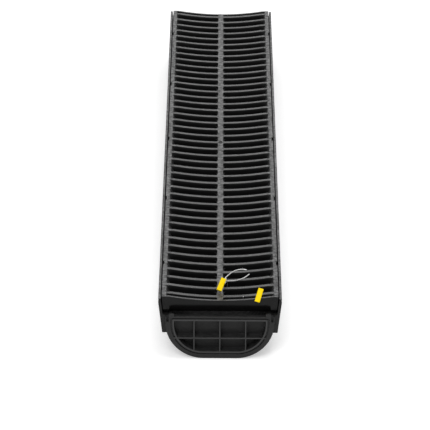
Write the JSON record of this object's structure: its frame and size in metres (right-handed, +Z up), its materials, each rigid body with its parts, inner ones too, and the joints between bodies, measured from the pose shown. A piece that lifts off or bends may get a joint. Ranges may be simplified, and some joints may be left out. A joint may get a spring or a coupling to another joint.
{
  "type": "channel drain",
  "caption": "Black plastic channel drain with a dished slotted snap-in grate, a D-shaped plug-in end cap and yellow-sleeved wire ties.",
  "frame": {"origin": "on the ground under the middle of the trough, on the foot of its middle rib", "axes": "+Y along the drain away from the capped end, +X across it, +Z up through the grate"},
  "size_m": [0.13, 1.0045, 0.0785],
  "materials": {
    "trough_plastic": "satin moulded black polypropylene",
    "grate_plastic": "satin moulded black polypropylene",
    "cap_plastic": "satin moulded black polypropylene",
    "tie_wire": "bright galvanised",
    "tie_sleeve": "plain yellow"
  },
  "bodies": {
    "root": {"channel_body": "trough_plastic", "grate": "grate_plastic", "end_cap": "cap_plastic", "tie_wire_centre": "tie_wire", "tie_sleeve_centre": "tie_sleeve", "tie_wire_front": "tie_wire", "tie_sleeve_front": "tie_sleeve"}
  },
  "joints": []
}
